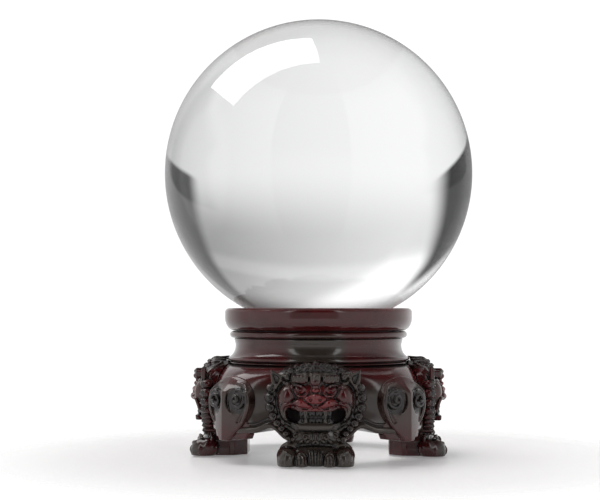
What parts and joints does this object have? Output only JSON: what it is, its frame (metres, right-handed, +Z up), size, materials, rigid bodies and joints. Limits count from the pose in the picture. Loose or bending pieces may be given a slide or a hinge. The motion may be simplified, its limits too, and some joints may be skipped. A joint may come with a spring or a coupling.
{
  "type": "crystal ball",
  "caption": "Clear glass ball resting in the turned rim of a dark resin stand, a square drum with keeled corner pendants, carried by lion masks on paw feet.",
  "frame": {"origin": "centre of the stand on the surface it stands on", "axes": "+Z up through the ball, -Y out of the front lion's face, +X to the viewer's right"},
  "size_m": [0.15, 0.15, 0.2116],
  "materials": {
    "crystal": "polished clear",
    "resin": "glossy dark rosewood red with black antiquing in the hollows",
    "felt": "black felt"
  },
  "bodies": {
    "stand": {"rim_ring": "resin", "bead_ring": "resin", "waist_collar": "resin", "drum_body": "resin", "keel_front_right": "resin", "keel_back_right": "resin", "keel_back_left": "resin", "keel_front_left": "resin", "lion_leg_front": "resin", "lion_leg_right": "resin", "lion_leg_back": "resin", "lion_leg_left": "resin", "foot_pad_front": "felt", "foot_pad_right": "felt", "foot_pad_back": "felt", "foot_pad_left": "felt"},
    "ball": {"crystal_ball": "crystal"}
  },
  "joints": [
    {"name": "ball_lift", "type": "slide", "parent": "stand", "child": "ball", "axis": [0, 0, 1], "range_m": [0, 0.12]}
  ]
}
